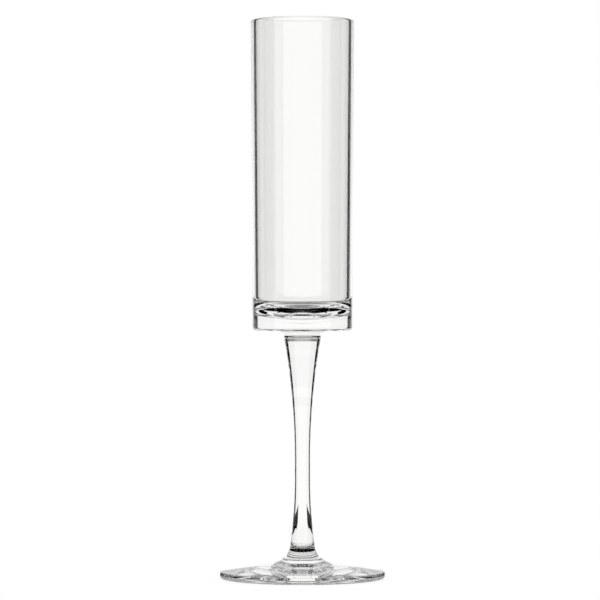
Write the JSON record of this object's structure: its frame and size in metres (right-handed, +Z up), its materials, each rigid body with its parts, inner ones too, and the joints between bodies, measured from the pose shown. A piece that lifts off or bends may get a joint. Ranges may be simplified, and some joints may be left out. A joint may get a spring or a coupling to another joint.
{
  "type": "champagne flute",
  "caption": "Clear straight-sided flute with a thick dished base, a slender waisted stem and a low round foot, for serving sparkling drinks.",
  "frame": {"origin": "centre of the circle that the foot rests on, on the table's surface", "axes": "+Z up along the flute's axis, from the foot to the rim; +X and +Y are any two level directions, because every piece is round"},
  "size_m": [0.074, 0.074, 0.25],
  "materials": {
    "clear_plastic": "clear, moulded in a polished tool, smooth and glossy",
    "clear_adhesive": "clear, cured, wetted to the plastic on both sides"
  },
  "bodies": {
    "root": {"bowl": "clear_plastic", "bowl_bond": "clear_adhesive", "stem": "clear_plastic", "foot_bond": "clear_adhesive", "foot": "clear_plastic"}
  },
  "joints": []
}
